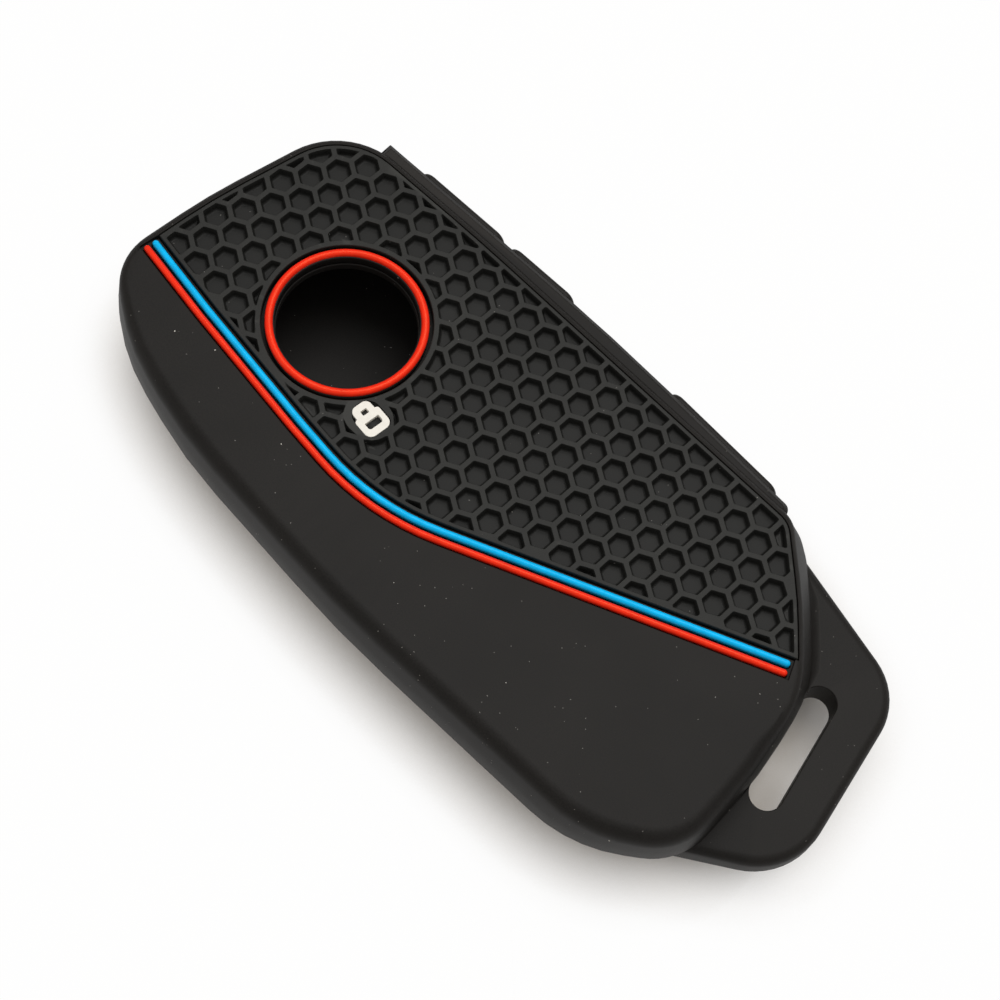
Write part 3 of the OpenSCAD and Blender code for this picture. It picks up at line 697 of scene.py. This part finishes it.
def build_panel(sizes):
    """The panel as one closed mesh: soft rim, ribs with rounded edges, drafted cell walls and filleted floors."""
    top = FACE
    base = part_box("honeycomb_panel")[0].z
    loops = sorted(flat_loops("honeycomb_panel", top), key=lambda loop: -abs(loop_area(loop)))
    outline = loops[0] if loop_area(loops[0]) > 0 else loops[0][::-1]
    bore_radius = np.linalg.norm(loops[1] - np.array(WINDOW[:2]), axis=1).mean()
    floor = max(p.center.z for p in frame["nodes"]["honeycomb_panel"].data.polygons
                if p.normal.z > 0.99 and p.center.z < top - 0.1 * MM)
    field = Field(sizes, outline)
    points, faces = [], []

    def add(ring, height):
        first = len(points)
        points.extend((p[0], p[1], height) for p in ring)
        return list(range(first, first + len(ring)))

    def join(upper, lower, turned):
        count = len(upper)
        for i in range(count):
            j = (i + 1) % count
            quad = (upper[i], lower[i], lower[j], upper[j])
            faces.append(quad[::-1] if turned else quad)

    quarter = [math.radians(a) for a in (0, 30, 60, 90)]
    # Outer edge, from the top down
    fine = resampled(outline, 0.8 * MM)
    edge = sizes.panel_round
    rim = [(edge * (1 - math.sin(t)), edge * (1 - math.cos(t))) for t in quarter]
    rings = [add(inset(fine, by), top - down) for by, down in rim]
    rings.append(add(fine, base))
    for upper, lower in zip(rings, rings[1:]):
        join(upper, lower, False)
    outer_top, outer_base = rings[0], rings[-1]
    # Bore for the ring
    turns = np.linspace(0, 2 * math.pi, WINDOW_STEPS, endpoint=False)
    circle = np.stack([np.cos(turns), np.sin(turns)], 1)
    rings = [add(np.array(WINDOW[:2]) + circle * (bore_radius + by), top - down) for by, down in rim]
    rings.append(add(np.array(WINDOW[:2]) + circle * bore_radius, base))
    for upper, lower in zip(rings, rings[1:]):
        join(upper, lower, True)
    bore_top, bore_base = rings[0], rings[-1]
    # Cells
    depth = top - floor
    rib, draft, fillet = sizes.rib_round, sizes.cell_draft, sizes.cell_fillet
    profile = [(rib * (math.sin(t) - 1), rib * (1 - math.cos(t))) for t in quarter]
    profile += [(draft + fillet * (1 - math.cos(t)), depth - fillet + fillet * math.sin(t)) for t in quarter]
    cell_tops = []
    for middle, hub, deepest, whole in cell_hubs(sizes, field):
        found = cell_rings(sizes, field, middle, hub, deepest, whole, [by for by, _ in profile], rays=48)
        ids = [add(ring, top - down) for ring, (_, down) in zip(found, profile)]
        for upper, lower in zip(ids, ids[1:]):
            join(upper, lower, True)
        hub = add([found[-1].mean(axis=0)], floor)[0]
        last = ids[-1]
        faces.extend((last[i], last[(i + 1) % len(last)], hub) for i in range(len(last)))
        cell_tops.append(ids[0])

    # Recess for the sign, rounder than the sign and open a little further on its far side
    recess = [add(sign_recess(sizes, (edge - by) / 2), top - down / 2) for by, down in rim]
    recess.append(add(sign_recess(sizes), top - sizes.sign_depth))
    for upper, lower in zip(recess, recess[1:]):
        join(upper, lower, True)

    def fill(loops_in, upward):
        ids = [i for loop in loops_in for i in loop]
        plan = [Vector(points[i][:2]) / MM for i in ids]
        edges, at = [], 0
        for loop in loops_in:
            count = len(loop)
            edges += [(at + k, at + (k + 1) % count) for k in range(count)]
            at += count
        flat, _, found, origin, _, _ = delaunay_2d_cdt(plan, edges, [], 1, 1e-7)
        holes = [np.array([points[i][:2] for i in loop]) for loop in loops_in[1:]]
        middles = np.array([[sum(flat[v].x for v in t) / 3 * MM, sum(flat[v].y for v in t) / 3 * MM] for t in found])
        hollow = np.zeros(len(found), bool)
        for hole in holes:
            low, high = hole.min(axis=0), hole.max(axis=0)
            near = np.where(np.all((middles > low) & (middles < high), axis=1) & ~hollow)[0]
            if len(near):
                hollow[near] |= is_inside(middles[near], hole)
        for triangle, gone in zip(found, hollow):
            if not gone:
                face = [ids[origin[v][0]] for v in triangle]
                faces.append(face if upward else face[::-1])

    fill([outer_top, bore_top, recess[0]] + cell_tops, True)
    fill([recess[-1]], True)
    fill([outer_base, bore_base], False)
    panel = mesh_piece("cover_honeycomb_panel", points, faces)
    # The flat top and the cells' floors are shaded flat, so that the round edges beside them don't cloud them
    flat = [(0, 0, 1) if min(abs(p[2] - top), abs(p[2] - floor)) < 0.0001 * MM else (0, 0, 0) for p in points]
    panel.data.normals_split_custom_set_from_vertices(flat)
    return panel


# The padlock sign

def rounded_box(middle, half, corners, steps=8):
    """An anticlockwise rectangle with its own radius at each corner, from the upper right one on."""
    loop = []
    for k, (sx, sy) in enumerate(((1, 1), (-1, 1), (-1, -1), (1, -1))):
        r = corners[k]
        centre = (middle[0] + sx * (half[0] - r), middle[1] + sy * (half[1] - r))
        loop += [(centre[0] + r * math.cos(math.radians(90 * k + 90 * s / steps)),
                  centre[1] + r * math.sin(math.radians(90 * k + 90 * s / steps))) for s in range(steps + 1)]
    return loop


def arc(middle, radius, first, last, steps=8):
    """Points along an arc between two angles in degrees."""
    turns = [math.radians(first + (last - first) * k / steps) for k in range(steps + 1)]
    return [(middle[0] + radius * math.cos(t), middle[1] + radius * math.sin(t)) for t in turns]


def on_sign(sizes, loop, aside=0.0):
    """A loop drawn round the sign's middle, set in its place and tilt."""
    turn, middle = sizes.sign_tilt, WINDOW.to_2d() + Vector(sizes.sign_middle)
    return [(middle.x + aside + x * math.cos(turn) - y * math.sin(turn),
             middle.y + x * math.sin(turn) + y * math.cos(turn)) for x, y in loop]


def padlock_outlines(sizes):
    """Plan outlines of the padlock: its body and bow as one, its eye and its keyhole, all anticlockwise."""
    half, low, neck, high, bow = 1.6 * MM, -2.0 * MM, 0.64 * MM, 2.0 * MM, 1.19 * MM
    foot, shoulder, crown, notch = 0.85 * MM, 0.36 * MM, 0.75 * MM, 0.05 * MM
    right = arc((half - foot, low + foot), foot, -90, 0)
    right += arc((half - shoulder, neck - shoulder), shoulder, 0, 90)
    right += arc((bow + notch, neck + notch), notch, 270, 180, 4)
    right += arc((bow - crown, high - crown), crown, 0, 90)
    body = right + [(-x, y) for x, y in reversed(right)]
    eye = rounded_box((0.03 * MM, 0.92 * MM), (0.44 * MM, 0.34 * MM), [0.12 * MM] * 4)
    keyhole = rounded_box((0.05 * MM, -0.7 * MM), (0.98 * MM, 0.5 * MM), [0.07 * MM] * 2 + [0.34 * MM] * 2)
    return [on_sign(sizes, loop) for loop in (body, eye, keyhole)]


def sign_recess(sizes, grown=0.0):
    """Plan outline of the recess round the sign, anticlockwise."""
    by = sizes.sign_gap + grown
    corners = [1.55 * MM] * 2 + [0.85 * MM + by] * 2
    return np.array(on_sign(sizes, rounded_box((0, 0), (1.6 * MM + by, 2.0 * MM + by), corners), 0.08 * MM))


def curve_piece(name, loops, height, thickness, bevel):
    """Flat outlines filled to a plate with soft edges, made into a mesh."""
    curve = bpy.data.curves.new(name, "CURVE")
    curve.dimensions = "2D"
    curve.fill_mode = "BOTH"
    curve.extrude = thickness / 2 - bevel
    curve.bevel_depth = bevel
    curve.bevel_resolution = 2
    for loop in loops:
        spline = curve.splines.new("POLY")
        spline.points.add(len(loop) - 1)
        for point, (x, y) in zip(spline.points, loop):
            point.co = (x, y, 0, 1)
        spline.use_cyclic_u = True
    holder = placed(name + "_curve", curve)
    bpy.context.view_layer.update()
    mesh = bpy.data.meshes.new_from_object(holder.evaluated_get(bpy.context.evaluated_depsgraph_get()))
    bpy.data.objects.remove(holder)
    mesh.transform(Matrix.Translation((0, 0, height)))
    return placed(name, mesh)


def turned(name, profile, steps=WINDOW_STEPS):
    """A closed outline of radius and height, turned round the window's axis."""
    count = len(profile)
    points = [(WINDOW.x + r * math.cos(t), WINDOW.y + r * math.sin(t), z)
              for t in np.arange(steps) * 2 * math.pi / steps for r, z in profile]
    faces = [(k * count + i, (k + 1) % steps * count + i, (k + 1) % steps * count + (i + 1) % count,
              k * count + (i + 1) % count) for k in range(steps) for i in range(count)]
    return mesh_piece(name, points, faces)


# Operators

class COVER_OT_shell(bpy.types.Operator):
    """Moulded shell with softened edges"""
    bl_idname = "key_cover.shell"
    bl_label = "Shell"

    def execute(self, context):
        sizes, colours = context.scene.cover_sizes, context.scene.cover_colours
        shell = widen_front_edge(welded_copy("cover_body", "cover_shell"), sizes)
        soften(shell, sizes.shell_round)
        finish = silicone("Moulded matt silicone", colours.shell, colours.dust,
                          roughness=0.55, grain_mm=0.16, dust_share=0.05)
        give(shell, "cover", "body_silicone", finish, "cover_body")
        give(strap_fillet("cover_strap_fillet", sizes), "cover", "body_silicone", finish)
        return {"FINISHED"}


class COVER_OT_panel(bpy.types.Operator):
    """Honeycomb panel with soft ribs, drafted walls and filleted floors"""
    bl_idname = "key_cover.panel"
    bl_label = "Honeycomb panel"

    def execute(self, context):
        sizes, colours = context.scene.cover_sizes, context.scene.cover_colours
        panel = build_panel(sizes)
        # The panel's cell floors get a painted shade, down to 0.6 of the tone
        finish = silicone("Moulded panel silicone", colours.panel, colours.dust,
                          roughness=0.5, grain_mm=0.14, dust_share=0.03, painted_shade_tone=0.6)
        give(panel, "cover", "panel_silicone", finish, "honeycomb_panel")
        return {"FINISHED"}


class COVER_OT_beads(bpy.types.Operator):
    """Red window ring on its black lip, and the red and blue stripes"""
    bl_idname = "key_cover.beads"
    bl_label = "Ring and stripes"

    def execute(self, context):
        sizes, colours = context.scene.cover_sizes, context.scene.cover_colours
        red = coloured_silicone("Red pigmented silicone", colours.red, "#FFC890")
        blue = coloured_silicone("Blue pigmented silicone", colours.blue, "#90D8FF")
        low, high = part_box("window_ring")
        outer, half = (high.x - low.x) / 2, sizes.ring_bead / 2
        crown = (outer - half, high.z - half)
        ring = turned("cover_window_ring", arc(crown, half, 0, 345, 23))
        give(ring, "cover", "red_trim", red, "window_ring")
        # The bead is pressed on a black lip, which also lines the bore below it
        lip = 0.14 * MM
        inner = (outer - sizes.ring_width + lip, crown[1] - lip)
        seat = turned("cover_window_lip", [(outer, low.z), (outer, crown[1]), (outer - half, crown[1])]
                      + arc(inner, lip, 90, 180, 4) + [(outer - sizes.ring_width, low.z)])
        finish = silicone("Moulded lip silicone", colours.shell, colours.dust,
                          roughness=0.5, grain_mm=0.14, dust_share=0.02)
        give(seat, "cover", "body_silicone", finish)
        for node, name, slot_name, finish in (("red_stripe", "cover_red_stripe", "red_trim", red),
                                              ("blue_stripe", "cover_blue_stripe", "blue_trim", blue)):
            bead = welded_copy(node, name)
            bead.data.shade_smooth()
            give(bead, "cover", slot_name, finish, node)
        return {"FINISHED"}


class COVER_OT_side_pads(bpy.types.Operator):
    """Three press pads on the right wall"""
    bl_idname = "key_cover.side_pads"
    bl_label = "Side pads"

    def execute(self, context):
        sizes, colours = context.scene.cover_sizes, context.scene.cover_colours
        finish = silicone("Moulded pad silicone", colours.pads, colours.dust,
                          roughness=0.5, grain_mm=0.14, dust_share=0.02)
        for node in SIDE_PADS:
            pad = soften(welded_copy(node, "cover_" + node), sizes.pad_round)
            give(pad, frame["nodes"][node]["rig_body"], "pad_silicone", finish, node)
        return {"FINISHED"}


class COVER_OT_padlock(bpy.types.Operator):
    """Printed padlock sign on the panel's plain island"""
    bl_idname = "key_cover.padlock"
    bl_label = "Padlock sign"

    def execute(self, context):
        sizes, colours = context.scene.cover_sizes, context.scene.cover_colours
        body, eye, keyhole = padlock_outlines(sizes)
        thickness = sizes.sign_depth + sizes.sign_rise
        sign = curve_piece("cover_padlock_sign", [body, eye[::-1], keyhole[::-1]],
                           FACE + sizes.sign_rise - thickness / 2, thickness, 0.04 * MM)
        give(sign, "cover", "panel_silicone", pad_print_ink("White pad-printing ink", colours.sign))
        return {"FINISHED"}


class COVER_OT_stage(bpy.types.Operator):
    """Pale floor, soft lamps and the camera"""
    bl_idname = "key_cover.stage"
    bl_label = "Stage"

    def execute(self, context):
        stage, colours = context.scene.cover_stage, context.scene.cover_colours
        reach, sunk = 3000 * MM, 0.02 * MM
        corners = [(-reach, -reach, 0), (reach, -reach, 0), (reach, reach, 0), (-reach, reach, 0)]
        floor = mesh_piece("floor", corners, [(0, 1, 2, 3)])
        floor.location.z = CAD_BOX[0].z - sunk
        floor.data.materials.append(pale_floor("Matt white card", colours.floor))

        right = Vector(stage.camera_right).normalized()
        up = Vector(stage.camera_up)
        up = (up - right * up.dot(right)).normalized()
        back = right.cross(up)
        camera_data = bpy.data.cameras.new("camera")
        camera_data.lens = stage.lens
        camera_data.sensor_width = 36
        camera_data.clip_start = 0.01
        camera = placed("camera", camera_data)
        camera.matrix_world = Matrix((
            (right.x, up.x, back.x, stage.camera_place[0]),
            (right.y, up.y, back.y, stage.camera_place[1]),
            (right.z, up.z, back.z, stage.camera_place[2]),
            (0, 0, 0, 1)))
        context.scene.camera = camera

        middle = (Vector(CAD_BOX[0]) + Vector(CAD_BOX[1])) / 2

        def lamp(name, along, distance, size, power, tone):
            way = (right * along[0] + up * along[1] + back * along[2]).normalized()
            data = bpy.data.lights.new(name, "AREA")
            data.shape = "SQUARE"
            data.size = size
            data.energy = power
            data.color = tone
            item = placed(name, data)
            item.location = middle + way * distance
            item.rotation_euler = way.to_track_quat("Z", "Y").to_euler()

        lamp("key lamp", (0.3, 0.75, 0.85), 0.6, 0.45, stage.key_power, (1.0, 0.99, 0.97))
        lamp("side lamp", (-0.9, 0.1, 0.45), 0.5, 0.3, stage.rim_power, (1.0, 0.95, 0.9))

        world = bpy.data.worlds.new("studio")
        world.use_nodes = True
        tree = world.node_tree
        tree.nodes.clear()
        # A large soft ceiling that falls off towards the sides
        way = add_node(tree, "ShaderNodeTexCoord")
        height = add_node(tree, "ShaderNodeSeparateXYZ", links={"Vector": (way, "Generated")})
        strength = add_node(tree, "ShaderNodeMapRange", {"From Min": 0.1, "From Max": 0.9, "To Min": stage.low_fill,
                                                         "To Max": stage.fill}, {"Value": (height, "Z")})
        # Seen straight, above the floor's far edge, it is as white as the floor
        ray = add_node(tree, "ShaderNodeLightPath")
        seen = add_node(tree, "ShaderNodeMix", {"data_type": "FLOAT", 3: 1.0},
                        {0: (ray, "Is Camera Ray"), 2: (strength, "Result")})
        light = add_node(tree, "ShaderNodeBackground", {"Color": (1.0, 0.99, 0.98, 1.0)}, {"Strength": (seen, 0)})
        add_node(tree, "ShaderNodeOutputWorld", links={"Surface": (light, "Background")})
        context.scene.world = world
        context.scene.view_settings.view_transform = "Standard"
        return {"FINISHED"}


class COVER_PT_panel(bpy.types.Panel):
    """Lists the cover's pieces"""
    bl_idname = "COVER_PT_panel"
    bl_label = "Key Fob Cover"
    bl_space_type = "VIEW_3D"
    bl_region_type = "UI"
    bl_category = "Key Cover"

    def draw(self, context):
        for operator in OPERATORS:
            self.layout.operator(operator.bl_idname)


OPERATORS = (COVER_OT_stage, COVER_OT_shell, COVER_OT_panel, COVER_OT_beads, COVER_OT_side_pads, COVER_OT_padlock)
CLASSES = (CoverSizes, CoverColours, CoverStage) + OPERATORS + (COVER_PT_panel,)


def register():
    for item in CLASSES:
        bpy.utils.register_class(item)
    bpy.types.Scene.cover_sizes = PointerProperty(type=CoverSizes)
    bpy.types.Scene.cover_colours = PointerProperty(type=CoverColours)
    bpy.types.Scene.cover_stage = PointerProperty(type=CoverStage)


def unregister():
    del bpy.types.Scene.cover_stage
    del bpy.types.Scene.cover_colours
    del bpy.types.Scene.cover_sizes
    for item in reversed(CLASSES):
        bpy.utils.unregister_class(item)


def main():
    register()
    bpy.ops.key_cover.stage()
    bpy.ops.key_cover.shell()
    bpy.ops.key_cover.panel()
    bpy.ops.key_cover.beads()
    bpy.ops.key_cover.side_pads()
    bpy.ops.key_cover.padlock()


if __name__ == "__main__":
    main()
